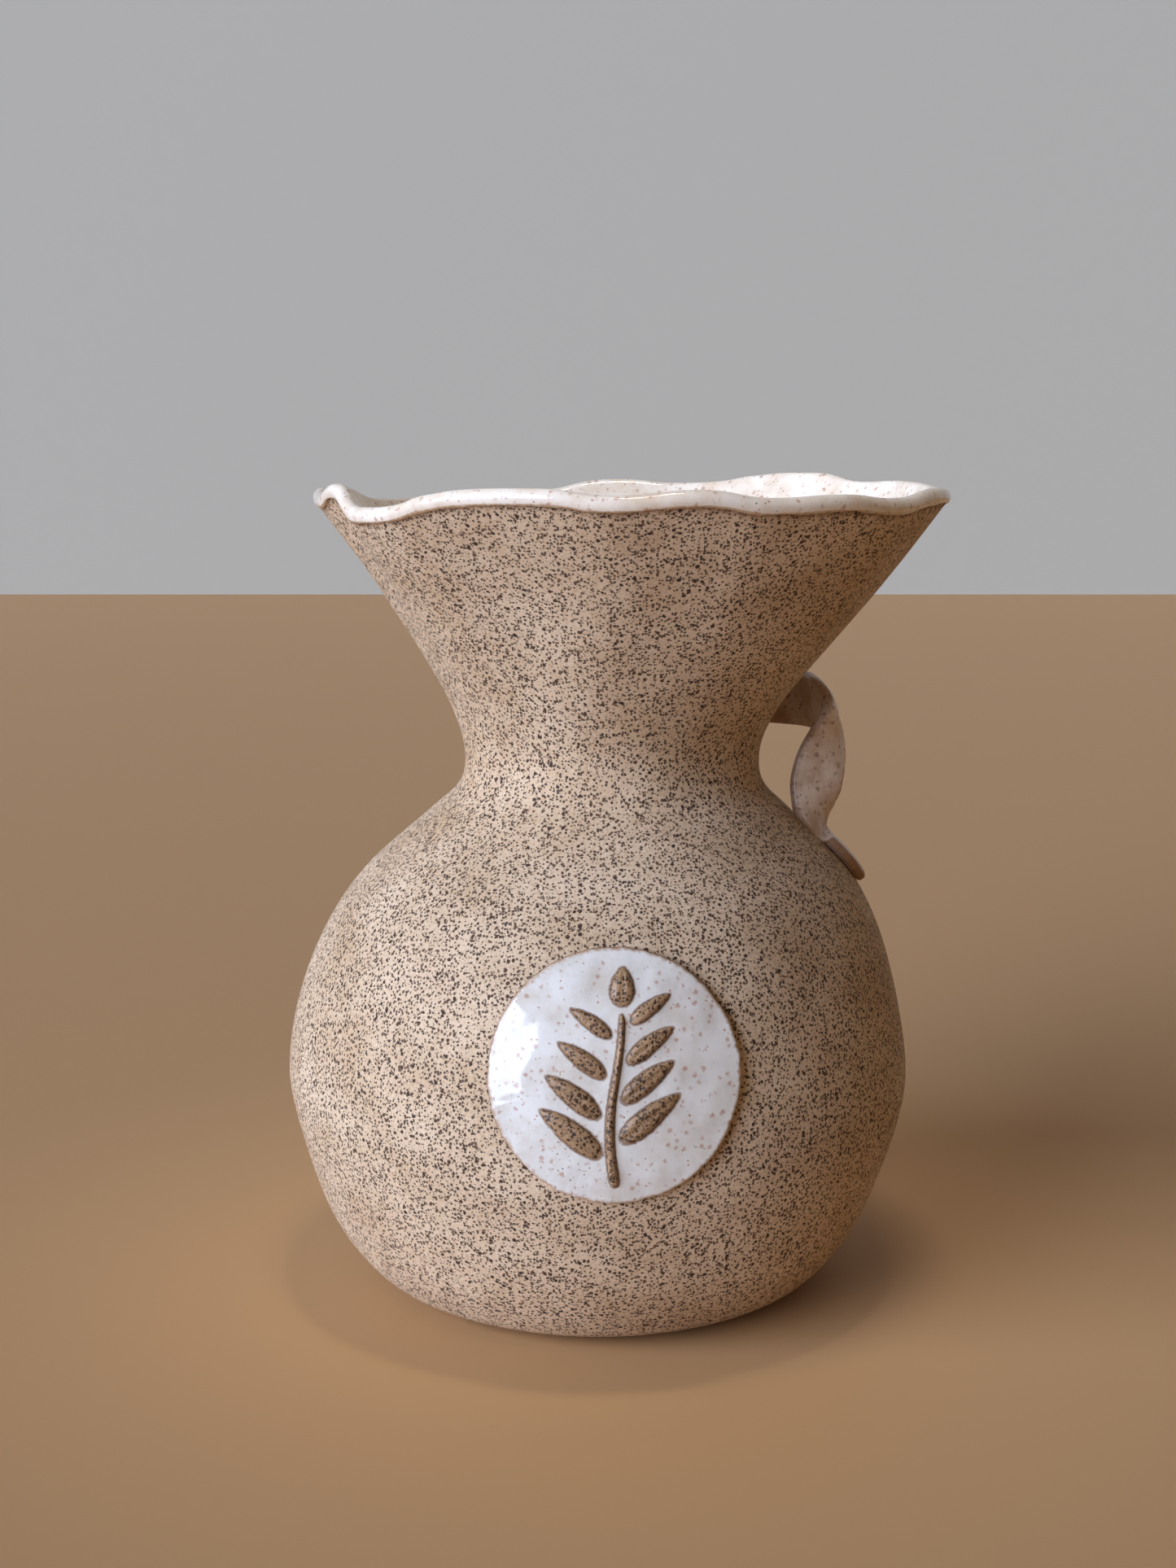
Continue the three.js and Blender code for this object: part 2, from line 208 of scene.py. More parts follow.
def smoothStep(value, low, high):
    t = min(max((value - low) / (high - low), 0), 1)
    return t * t * (3 - 2 * t)


def newMaterial(name, roughness, ior):
    made = bpy.data.materials.new(name)
    made.use_nodes = True
    shader = made.node_tree.nodes["Principled BSDF"]
    shader.inputs["Roughness"].default_value = roughness
    shader.inputs["IOR"].default_value = ior
    return made, made.node_tree, shader


# Mixes two colours, each a hex string or a socket, by a share.
def blend(tree, share, one, other):
    one, other = (linear(c) if isinstance(c, str) else c for c in (one, other))
    return add(tree, "Mix", {"Factor": share, "A": one, "B": other}, data_type="RGBA").outputs["Result"]


def roughen(tree, shader, height, depth):
    bump = add(tree, "Bump", {"Height": height, "Distance": depth * mm, "Strength": 1.0})
    tree.links.new(bump.outputs["Normal"], shader.inputs["Normal"])


# Specks of iron or rutile: each cell of clay may hold one, of a random size. Returns the mask.
def speckMask(tree, place, layers):
    mask = 0.0
    for layer in layers:
        cell = layer["cell"]
        ragged = add(tree, "TexNoise", {"Vector": place, "Scale": 1 / (layer["grain"] * mm), "Detail": 1.0})
        centred = add(tree, "VectorMath", [ragged.outputs["Color"], (0.5, 0.5, 0.5)], operation="SUBTRACT")
        push = add(tree, "VectorMath", {0: centred, "Scale": layer["ragged"] * 2 * mm}, operation="SCALE")
        moved = add(tree, "VectorMath", [place, push], operation="ADD")
        cells = add(tree, "TexVoronoi", {"Vector": moved, "Scale": 1 / (cell * mm)})
        lot = add(tree, "SeparateColor", [cells.outputs["Color"]])
        small, large = (r / cell for r in layer["radius"])
        radius = add(tree, "MapRange", [lot.outputs[0], 0.0, 1.0, small, large])
        inside = add(tree, "Math", [radius, cells.outputs["Distance"]], operation="SUBTRACT")
        soft = layer["soft"] / cell
        spot = add(tree, "MapRange", [inside, -soft, soft, 0.0, layer["strength"]],
                   interpolation_type="SMOOTHSTEP")
        here = add(tree, "Math", [lot.outputs[1], layer["share"]], operation="LESS_THAN")
        kept = add(tree, "Math", [spot, here], operation="MULTIPLY")
        mask = add(tree, "Math", [kept, mask], operation="MAXIMUM")
    return mask


# Where a surface changes near an edge: an attribute's value, frayed by noise, from untouched to full. It may
# grow along another attribute, from its least share at the start.
def edgeShare(tree, place, edge):
    value = add(tree, "Attribute", attribute_name=edge["by"]).outputs["Fac"]
    noise = add(tree, "TexNoise", {"Vector": place, "Scale": 1 / (edge["grain"] * mm), "Detail": 3.0})
    away = add(tree, "Math", [noise, 0.5], operation="SUBTRACT")
    frayed = add(tree, "Math", [away, edge["fray"], value], operation="MULTIPLY_ADD")
    share = add(tree, "MapRange", [frayed, edge["none"], edge["full"], 0.0, edge["strength"]],
                interpolation_type="SMOOTHSTEP")
    if "grows" in edge:
        along, start, end, least = edge["grows"]
        way = add(tree, "Attribute", attribute_name=along).outputs["Fac"]
        share = add(tree, "Math", [share, add(tree, "MapRange", [way, start, end, least, 1.0])],
                    operation="MULTIPLY")
    return share


# Stoneware clay with iron specks, fired bare to a warm buff. It is dry and matt, so light spreads evenly
# over it, with dark specks of many sizes and a fine tooth. Its iron flashes darker where the glaze stops.
bareClay = {
    "light": "#dfc8ac", "dark": "#bc9e7c", "speck": "#38281d", "rust": "#593c27", "flash": "#7a5636",
    "roughness": 0.82, "ior": 1.5, "toothDepth": 0.018, "toothGrain": 0.35, "speckPit": 0.6,
    "cloudGrain": 24, "gritGrain": 0.8, "rustGrain": 2.2,
    "edge": {"by": "glazeEdge", "none": 2.2 * mm, "full": -0.4 * mm, "fray": 4.0 * mm, "grain": 1.4,
             "strength": 0.75},
    "specks": [
        {"cell": 0.8, "grain": 0.45, "ragged": 0.22, "radius": (0.16, 0.45), "soft": 0.05, "share": 0.95,
         "strength": 0.92},
        {"cell": 1.5, "grain": 0.7, "ragged": 0.35, "radius": (0.24, 0.58), "soft": 0.08, "share": 0.5,
         "strength": 1.0},
    ],
}
padClay = {**bareClay, "edge": {"by": "towardsRim", "none": 0.9, "full": 1.0, "fray": 0.05, "grain": 1.2,
                                "strength": 0.75}}

# The same clay with glaze wiped off its relief. A thin film stays in its pores, so it is browner and has a
# soft sheen, and it is darkest at its foot, where the wiped glaze drew the iron out.
wipedClay = {
    **bareClay, "light": "#ad8e6c", "dark": "#856546", "flash": "#4d3521", "roughness": 0.42,
    "toothDepth": 0.07, "toothGrain": 0.6,
    "edge": {"by": "towardsEdge", "none": 0.72, "full": 0.98, "fray": 0.3, "grain": 1.0, "strength": 0.85},
}


def clayMaterial(name, look):
    made, tree, shader = newMaterial(name, look["roughness"], look["ior"])
    place = add(tree, "TexCoord").outputs["Object"]
    cloud = add(tree, "TexNoise", {"Vector": place, "Scale": 1 / (look["cloudGrain"] * mm), "Detail": 5.0,
                                   "Roughness": 0.65})
    grit = add(tree, "TexNoise", {"Vector": place, "Scale": 1 / (look["gritGrain"] * mm), "Detail": 3.0,
                                  "Roughness": 0.7})
    tone = add(tree, "Math", [cloud, grit], operation="ADD")
    toned = add(tree, "MapRange", [tone, 0.75, 1.25, 0.0, 1.0])
    body = blend(tree, toned, look["light"], look["dark"])
    body = blend(tree, edgeShare(tree, place, look["edge"]), body, look["flash"])
    mask = speckMask(tree, place, look["specks"])
    iron = add(tree, "TexNoise", {"Vector": place, "Scale": 1 / (look["rustGrain"] * mm)})
    ironTone = add(tree, "MapRange", [iron, 0.45, 0.7, 0.0, 1.0])
    colour = blend(tree, mask, body, blend(tree, ironTone, look["speck"], look["rust"]))
    tree.links.new(colour, shader.inputs["Base Color"])
    tooth = add(tree, "TexNoise", {"Vector": place, "Scale": 1 / (look["toothGrain"] * mm), "Detail": 2.0})
    height = add(tree, "Math", [mask, -look["speckPit"], tooth], operation="MULTIPLY_ADD")
    roughen(tree, shader, height, look["toothDepth"])
    return made


# White tin glaze poured and wiped back at the lip, fired glossy. It is thick and milky with soft rutile
# specks rising through it, has long smooth highlights, and breaks to tan where it runs thin at an edge.
whiteGlaze = {
    "light": "#f2e9db", "dark": "#dfcdb6", "speck": "#b07c60", "dots": "#4c3a30",
    "roughness": 0.09, "ior": 1.52, "orangePeel": 0.035, "peelGrain": 3.5, "milkGrain": 9,
    "crowdGrain": 14,
    "edges": [{"by": "glazeEdge", "none": -2.4 * mm, "full": 0.2 * mm, "fray": 3.2 * mm, "grain": 1.1,
               "strength": 0.9, "colour": "#b8946c"}],
    "specks": [
        {"cell": 2.2, "grain": 0.9, "ragged": 0.6, "radius": (0.2, 0.7), "soft": 0.3, "share": 0.75,
         "strength": 0.65},
        {"cell": 1.5, "grain": 0.7, "ragged": 0.25, "radius": (0.12, 0.32), "soft": 0.12, "share": 0.4,
         "strength": 0.8},
    ],
    "fineDots": [{"cell": 1.1, "grain": 0.5, "ragged": 0.2, "radius": (0.08, 0.26), "soft": 0.08,
                  "share": 0.6, "strength": 0.8}],
}
# On the medallion the same glaze lies in a pool, so only its rim and the line round the relief run thin.
# painted shade: here the same glaze's light and dark colours are greyer and darker than on the lip
pooledGlaze = {**whiteGlaze, "light": "#e2e1dc", "dark": "#d2cbc0", "edges": [
    {"by": "toRelief", "none": 0.5 * mm, "full": 0.1 * mm, "fray": 0.35 * mm, "grain": 0.8, "strength": 0.8,
     "colour": "#7a5433"},
    {"by": "towardsRim", "none": 0.955, "full": 1.0, "fray": 0.06, "grain": 1.1, "strength": 0.85,
     "colour": "#a88058"}]}
# On the handle it is brushed on thinly over the clay, so it is a satin pinkish white that breaks to brown at
# its edges.
brushedGlaze = {
    **whiteGlaze, "light": "#e6d5c4", "dark": "#bb9a7e", "speck": "#7d5a44", "roughness": 0.32,
    "orangePeel": 0.05,
    # The first edge band is wider than the glaze's break: painted shade on the ribbon's rounded edges,
    # growing towards the shoulder end.
    "edges": [{"by": "towardsEdge", "none": 0.86, "full": 0.98, "fray": 0.16, "grain": 1.2, "strength": 0.9,
               "colour": "#80531f", "grows": ("along", 0.45, 0.8, 0.25)},
              {"by": "along", "none": 0.965, "full": 1.0, "fray": 0.02, "grain": 2.0, "strength": 0.9,
               "colour": "#8a5a30"}],
}


def glazeMaterial(name, look):
    made, tree, shader = newMaterial(name, look["roughness"], look["ior"])
    place = add(tree, "TexCoord").outputs["Object"]
    milk = add(tree, "TexNoise", {"Vector": place, "Scale": 1 / (look["milkGrain"] * mm), "Detail": 4.0,
                                  "Roughness": 0.6})
    milky = add(tree, "MapRange", [milk, 0.42, 0.68, 0.0, 1.0])
    colour = blend(tree, milky, look["light"], look["dark"])
    crowd = add(tree, "TexNoise", {"Vector": place, "Scale": 1 / (look["crowdGrain"] * mm), "Detail": 1.0})
    crowded = add(tree, "MapRange", [crowd, 0.56, 0.66, 0.0, 1.0])
    dots = add(tree, "Math", [speckMask(tree, place, look["fineDots"]), crowded], operation="MULTIPLY")
    layers = [(speckMask(tree, place, look["specks"]), look["speck"]), (dots, look["dots"])]
    layers += [(edgeShare(tree, place, edge), edge["colour"]) for edge in look["edges"]]
    for share, tint in layers:
        colour = blend(tree, share, colour, tint)
    tree.links.new(colour, shader.inputs["Base Color"])
    peel = add(tree, "TexNoise", {"Vector": place, "Scale": 1 / (look["peelGrain"] * mm), "Detail": 2.0})
    roughen(tree, shader, peel, look["orangePeel"])
    return made


thrownStoneware = clayMaterial("thrownStoneware", bareClay)
pressedStoneware = clayMaterial("pressedStoneware", padClay)
wipedStoneware = clayMaterial("wipedStoneware", wipedClay)
pouredWhiteGlaze = glazeMaterial("pouredWhiteGlaze", whiteGlaze)
pooledWhiteGlaze = glazeMaterial("pooledWhiteGlaze", pooledGlaze)
brushedWhiteGlaze = glazeMaterial("brushedWhiteGlaze", brushedGlaze)
print("stoneware and glazes mixed")

# The thrown wall, from the foot up to the lip, with what the hands did to it afterwards.
thrownWall = {
    "outside": [(54, 0), (65, 6), (75, 19), (82, 36), (86.5, 52), (87, 65), (83.5, 84), (77, 102),
                (67.5, 117), (51, 132.5), (42.5, 141), (41, 150), (44, 160), (50.5, 171), (67.3, 194),
                (85.2, 218.6)],
    "steps": 150, "segments": 288, "lipSteps": 12,
    "wall": 5.0, "lip": 3.6, "thinFrom": 150, "floor": 7.0, "floorEdge": (52, 44, 22), "footEdge": 1.2,
    "floorSteps": 24, "skirtSteps": 14, "clearOfEdge": 5.0,
    "neckLean": (4.2, 70, 150), "collarLean": (5.0, 148, 206),
    "waveFrom": 165, "waveTo": 218.6, "waveSpan": 12,
    "lipWave": [(-180, 0.4), (-168, -0.3), (-158, 2.6), (-146, -2.8), (-128, 0.8), (-107, 2.9), (-94, 1.3),
                (-80, 2.6), (-67, 0.5), (-54, 1), (-39, -0.4), (-22, 1.4), (-4, 0.6), (22, 1.5), (35, 0.8),
                (47, 3), (62, 1.8), (80, -0.6), (91, 0.5), (106, -2.4), (128, -3.2), (147, -4.2),
                (165, 0), (180, 0.4)],
    "presses": [
        {"azimuth": -116, "height": 188, "depth": 2.2, "round": 12, "up": 15},
        {"azimuth": -132, "height": 151, "depth": 1.8, "round": 16, "up": 9},
        {"azimuth": -48, "height": 151, "depth": 1.2, "round": 16, "up": 9},
        {"azimuth": 178, "height": 46, "depth": 1.0, "round": 22, "up": 12},
        {"azimuth": -157, "height": 218, "depth": 1.2, "round": 9, "up": 14},
        {"azimuth": 176, "height": 218, "depth": -1.0, "round": 9, "up": 14},
    ],
    "unevenness": 0.7, "unevenSpan": 45, "ruffle": 1.6, "ruffleFrom": 188, "ruffleScale": 3.2,
    "wanderScale": 7.0,
    "glazeDown": 1.0, "glazeWander": 3.2, "glazeThick": 0.5, "glazeRound": 0.8, "glazeSink": 0.3,
    "seed": 3.7,
}


def wallOutline(form):
    outside = smoothLine([Vector((r, 0, z)) for r, z in form["outside"]], form["steps"])
    top = outside[-1].z
    thickness = [form["wall"] + (form["lip"] - form["wall"]) * smoothStep(p.z, form["thinFrom"], top)
                 for p in outside]
    inside = besideLine(outside, thickness)
    inner = [p for p in inside if p.z > form["floor"] + 4][::-1]
    middle = (outside[-1] + inside[-1]) / 2
    arm = outside[-1] - middle
    lip = []
    for k in range(1, form["lipSteps"]):
        turn = math.pi * k / form["lipSteps"]
        lip.append(middle + arm * math.cos(turn) + Vector((-arm.z, 0, arm.x)) * math.sin(turn))
    rises = zip((*form["floorEdge"], 0), (1.2, 0.2, 0, 0))
    floorLine = [Vector((r, 0, form["floor"] + rise)) for r, rise in rises]
    return outside, lip, inner, smoothLine([inner[-1], *floorLine], form["floorSteps"])[1:]


# The clay's section: under the foot, up the outside, over the lip and down the inside to the floor's middle.
def claySection(form):
    outside, lip, inner, floorLine = wallOutline(form)
    footRadius = form["outside"][0][0] - form["footEdge"]
    foot = [Vector((footRadius * k / 6, 0, 0)) for k in range(7)]
    rounded = [p for p in outside if p.z > form["footEdge"] * 0.6]
    points = foot + rounded + lip + inner + floorLine
    below = [0.2] * len(foot) + [(outside[-1] - p).length * mm for p in rounded]
    below += [-1.0] * (len(points) - len(below))
    return stationString([p * mm for p in points], belowLip=below)


# The lining's section runs just inside the clay's surface, and comes back along the glaze's own face. Its
# skirt hangs down the outside below the lip, and what lies above counts as well clear of the glaze's edge.
def liningSection(form):
    outside, lip, inner, floorLine = wallOutline(form)
    downwards = (outside[-2] - outside[-1]).normalized() * form["glazeDown"]
    skirt = [outside[-1] + downwards * (1 - k / form["skirtSteps"]) for k in range(form["skirtSteps"])]
    above = lip + inner + floorLine
    covered = skirt + above
    below = [(outside[-1] - p).length for p in skirt] + [-form["clearOfEdge"]] * len(above)
    thick = [form["glazeThick"] * min(1, (max(0, below[0] - b) / form["glazeRound"]) ** 0.5) for b in below]
    under = besideLine(covered, [form["glazeSink"]] * len(covered))
    over = besideLine(covered, [-t for t in thick])
    under[-1].x = over[-1].x = 0
    below = [b * mm for b in below]
    return stationString([p * mm for p in under[::-1] + over], belowLip=below[::-1] + below)


def throwingTree(form):
    tree, given = startTree("Throw and shape", {
        "Section": "Object", "Stations": "Int", "Segments": "Int", "Unevenness": "Float", "Ruffle": "Float",
        "Glaze down": "Float", "Glaze wander": "Float", "Skirt": "Float", "Seed": "Float",
        "Material": "Material"})
    swept = sweep(tree, given, "Segments", "Section")
    turn, cosine, sine = swept["turn"], swept["cosine"], swept["sine"]
    below = readStation(tree, swept, "belowLip")
    size = add(tree, "SeparateXYZ", [swept["station"]])
    radius, height = size.outputs[0], size.outputs[2]

    # finger presses, each a soft hollow of its own size
    pressed = 0.0
    for press in form["presses"]:
        away = add(tree, "Math", [turn, math.radians(press["azimuth"])], operation="SUBTRACT")
        near = add(tree, "Math", [away, math.pi, -math.pi], operation="WRAP")
        across = add(tree, "Math", [near, math.radians(press["round"])], operation="DIVIDE")
        rise = add(tree, "Math", [height, press["height"] * mm], operation="SUBTRACT")
        up = add(tree, "Math", [rise, press["up"] * mm], operation="DIVIDE")
        spread = add(tree, "Math", [across, across], operation="MULTIPLY")
        total = add(tree, "Math", [up, up, spread], operation="MULTIPLY_ADD")
        fall = add(tree, "Math", [math.exp(-1), total], operation="POWER")
        pressed = add(tree, "Math", [fall, press["depth"] * mm, pressed], operation="MULTIPLY_ADD")

    # the slow wobble that a thrown wall keeps, and the ruffle that grows towards the lip
    x = add(tree, "Math", [cosine, radius], operation="MULTIPLY")
    y = add(tree, "Math", [sine, radius], operation="MULTIPLY")
    spun = add(tree, "VectorMath", [add(tree, "CombineXYZ", [x, y, height]), given["Seed"]], operation="ADD")
    wobble = add(tree, "TexNoise", {"Vector": spun, "Scale": 1 / (form["unevenSpan"] * mm), "Detail": 2.0})
    wobbled = add(tree, "Math", [wobble, 0.5], operation="SUBTRACT")
    uneven = add(tree, "Math", [wobbled, given["Unevenness"], pressed], operation="MULTIPLY_ADD")
    ring = add(tree, "CombineXYZ", [cosine, sine, given["Seed"]])
    frill = add(tree, "TexNoise", {"Vector": ring, "Scale": form["ruffleScale"], "Detail": 1.0})
    frilled = stray(tree, frill, given["Ruffle"])
    growing = add(tree, "MapRange", [height, form["ruffleFrom"] * mm, form["waveTo"] * mm, 0.0, 1.0])
    uneven = add(tree, "Math", [frilled, growing, uneven], operation="MULTIPLY_ADD")
    offAxis = add(tree, "MapRange", [radius, 0.0, 20 * mm, 0.0, 1.0], interpolation_type="SMOOTHSTEP")
    inward = add(tree, "Math", [uneven, offAxis], operation="MULTIPLY")

    # the glaze's edge wanders round the jug, and takes the lining's skirt with it
    wander = add(tree, "TexNoise", {"Vector": ring, "Scale": form["wanderScale"], "Detail": 4.0,
                                    "Roughness": 0.62})
    wandered = stray(tree, wander, given["Glaze wander"])
    share = add(tree, "Math", [below, given["Glaze down"]], operation="DIVIDE", use_clamp=True)
    skirt = add(tree, "Math", [share, given["Skirt"]], operation="MULTIPLY")
    slide = add(tree, "Math", [wandered, skirt], operation="MULTIPLY")
    bare = add(tree, "Math", [1.0, given["Skirt"]], operation="SUBTRACT")
    line = add(tree, "Math", [wandered, bare, given["Glaze down"]], operation="MULTIPLY_ADD")
    glazeEdge = add(tree, "Math", [below, line], operation="SUBTRACT")

    # leans, and the lip's waves
    lean = 0.0
    for by, low, high in (form["neckLean"], form["collarLean"]):
        leant = add(tree, "MapRange", [height, low * mm, high * mm, 0.0, by * mm],
                    interpolation_type="SMOOTHSTEP")
        lean = add(tree, "Math", [leant, lean], operation="ADD")
    drawn = add(tree, "FloatCurve", {"Value": add(tree, "Math", [swept["row"], 0.5], operation="ADD")})
    curve = drawn.mapping.curves[0]
    spots = [((azimuth + 180) / 360, 0.5 + lift / form["waveSpan"]) for azimuth, lift in form["lipWave"]]
    curve.points[0].location = spots[0]
    curve.points[1].location = spots[-1]
    for spot in spots[1:-1]:
        curve.points.new(*spot)
    drawn.mapping.update()
    rising = add(tree, "MapRange", [height, form["waveFrom"] * mm, form["waveTo"] * mm, 0.0,
                                    form["waveSpan"] * mm], interpolation_type="SMOOTHSTEP")
    lift = stray(tree, drawn, rising)

    # the skirt slides along the wall's own slope under the lip
    slope = (Vector(form["outside"][-1]) - Vector(form["outside"][-2])).normalized()
    out = add(tree, "Math", [radius, inward], operation="SUBTRACT")
    out = add(tree, "Math", [slide, -slope.x, out], operation="MULTIPLY_ADD")
    x = add(tree, "Math", [cosine, out, lean], operation="MULTIPLY_ADD")
    y = add(tree, "Math", [sine, out], operation="MULTIPLY")
    z = add(tree, "Math", [height, lift], operation="ADD")
    z = add(tree, "Math", [slide, -slope.y, z], operation="MULTIPLY_ADD")
    marked = keep(tree, swept["grid"], "glazeEdge", glazeEdge)
    shaped = add(tree, "SetPosition", {"Geometry": marked, "Position": add(tree, "CombineXYZ", [x, y, z])})
    joined = add(tree, "MergeByDistance", {"Geometry": shaped, "Distance": 0.005 * mm})
    return endTree(tree, joined, given["Material"])


throwing = throwingTree(thrownWall)
thrownSizes = {"Segments": thrownWall["segments"], "Unevenness": thrownWall["unevenness"] * mm,
               "Ruffle": thrownWall["ruffle"] * mm, "Glaze down": thrownWall["glazeDown"] * mm,
               "Glaze wander": thrownWall["glazeWander"] * mm, "Seed": thrownWall["seed"]}
jugWall = shapeSection("jugWall", throwing, claySection(thrownWall), {
    **thrownSizes, "Skirt": 0.0, "Material": thrownStoneware})
glazeLining = shapeSection("glazeLining", throwing, liningSection(thrownWall), {
    **thrownSizes, "Skirt": 1.0, "Material": pouredWhiteGlaze})
handIn(jugWall, "bare_stoneware", "stoneware_body")
handIn(glazeLining, "white_glaze", "liner_glaze")

wallFaces = BVHTree.FromPolygons([v.co for v in jugWall.data.vertices],
                                 [p.vertices for p in jugWall.data.polygons])


reachOut = 150 * mm


# Where a ray meets the wall, and the wall's direction there, averaged over a finger's breadth.
def touchWall(source, direction, breadth=2.0):
    hit = wallFaces.ray_cast(source, direction)[0]
    side = direction.orthogonal().normalized()
    total = Vector((0, 0, 0))
    for k in range(6):
        turn = math.pi * k / 3
        step = (side * math.cos(turn) + side.cross(direction) * math.sin(turn)) * breadth * mm
        total += wallFaces.ray_cast(source + step, direction)[1]
    normal = total.normalized()
    return hit, normal if normal.dot(direction) < 0 else -normal


# Rolls a strip of clay along stations that carry its sideways and outward directions and its half sizes.
def rollingTree():
    tree, given = startTree("Roll a strip", {
        "Path": "Object", "Stations": "Int", "Sides": "Int", "Roundness": "Float", "Underside": "Float",
        "Groove": "Float", "Groove width": "Float", "Unevenness": "Float", "Uneven span": "Float",
        "Seed": "Float", "Material": "Material"})
    swept = sweep(tree, given, "Sides", "Path")
    across, outward = (readStation(tree, swept, label, "FLOAT_VECTOR") for label in ("across", "outward"))
    halfWidth, halfThick = (readStation(tree, swept, label) for label in ("halfWidth", "halfThick"))
    arms = []
    for arm in (swept["cosine"], swept["sine"]):
        long = add(tree, "Math", [add(tree, "Math", [arm], operation="ABSOLUTE"), given["Roundness"]],
                   operation="POWER")
        arms.append(add(tree, "Math", [long, add(tree, "Math", [arm], operation="SIGN")],
                        operation="MULTIPLY"))
    beside, over = arms
    isUnder = add(tree, "Math", [over, 0.0], operation="LESS_THAN")
    less = add(tree, "Math", [given["Underside"], 1.0], operation="SUBTRACT")
    shrink = add(tree, "Math", [isUnder, less, 1.0], operation="MULTIPLY_ADD")
    offset = add(tree, "Math", [beside, halfWidth], operation="MULTIPLY")
    rise = add(tree, "Math", [add(tree, "Math", [over, shrink], operation="MULTIPLY"), halfThick],
               operation="MULTIPLY")

    # grooves and unevenness fade out where the strip narrows to its tip
    body = add(tree, "Math", [halfWidth, 1 / (2.5 * mm)], operation="MULTIPLY", use_clamp=True)
    narrow = add(tree, "Math", [offset, given["Groove width"]], operation="DIVIDE")
    valley = add(tree, "Math", [math.exp(-1), add(tree, "Math", [narrow, narrow], operation="MULTIPLY")],
                 operation="POWER")
    deep = add(tree, "Math", [add(tree, "Math", [valley, given["Groove"]], operation="MULTIPLY"),
                              add(tree, "Math", [over, 0.0], operation="MAXIMUM")], operation="MULTIPLY")
    deep = add(tree, "Math", [deep, add(tree, "Math", [body, 3.0], operation="POWER")], operation="MULTIPLY")
    rise = add(tree, "Math", [rise, deep], operation="SUBTRACT")
    sideways = add(tree, "VectorMath", {0: across, "Scale": offset}, operation="SCALE")
    upwards = add(tree, "VectorMath", {0: outward, "Scale": rise}, operation="SCALE")
    spot = add(tree, "VectorMath", [swept["station"], sideways], operation="ADD")
    spot = add(tree, "VectorMath", [spot, upwards], operation="ADD")
    seeded = add(tree, "VectorMath", [spot, given["Seed"]], operation="ADD")
    often = add(tree, "Math", [1.0, given["Uneven span"]], operation="DIVIDE")
    finger = add(tree, "TexNoise", {"Vector": seeded, "Scale": often, "Detail": 2.0})
    shift = add(tree, "VectorMath", [finger.outputs["Color"], (0.5, 0.5, 0.5)], operation="SUBTRACT")
    push = add(tree, "Math", [given["Unevenness"], body], operation="MULTIPLY")
    shift = add(tree, "VectorMath", {0: shift, "Scale": push}, operation="SCALE")
    spot = add(tree, "VectorMath", [spot, shift], operation="ADD")
    marked = keep(tree, swept["grid"], "towardsEdge", add(tree, "Math", [beside], operation="ABSOLUTE"))
    marked = keep(tree, marked, "along", swept["along"])
    shaped = add(tree, "SetPosition", {"Geometry": marked, "Position": spot})
    joined = add(tree, "MergeByDistance", {"Geometry": shaped, "Distance": 0.002 * mm})
    return endTree(tree, joined, given["Material"])


rolling = rollingTree()


def rollStrip(name, stations, values):
    path = stationString(stations, across=[Vector(s[3:6]).normalized() for s in stations],
                         outward=[Vector(s[6:9]).normalized() for s in stations],
                         halfWidth=[s[9] for s in stations], halfThick=[s[10] for s in stations])
    made = runTree(name, rolling, {"Path": path, "Stations": len(stations), **values})
    bpy.data.objects.remove(path)
    return made


# The ribbon handle: laid along the collar, it leaves the wall, twists once and is pressed on to the shoulder.
# Stations on the wall give an azimuth and a height, free ones a place and the direction of the width.
ribbonHandle = {
    "onCollar": [(72, 161), (60, 162), (49, 162)],
    "free": [((56, 26, 161.5), (-0.2, -0.1, -1)), ((63, 17, 160.8), (0.1, 0.35, -0.93)),
             ((66.6, 9.3, 158), (0.22, 0.72, -0.66)), ((65, 5, 152), (0.62, 0.65, -0.4)),
             ((62.6, 2.2, 146), (0.86, 0.42, -0.3)), ((61.2, 0.7, 140), (0.9, 0.38, -0.2)),
             ((61, 0.3, 136), (0.82, 0.55, -0.05)), ((61.3, 0.5, 132.8), (0.7, 0.7, 0.1)),
             ((62.2, 0.8, 129.4), (0.44, 0.87, 0.2))],
    "onShoulder": [(2, 125), (2, 119), (2, 112)],
    "width": 16.0, "thick": 4.0, "standOff": 1.5, "stations": 150, "sides": 44, "tip": 7.0,
    "axis": 6, "easeAtEnds": 0.85, "roundness": 0.55, "unevenness": 0.9, "unevenSpan": 14, "seed": 8.2,
}


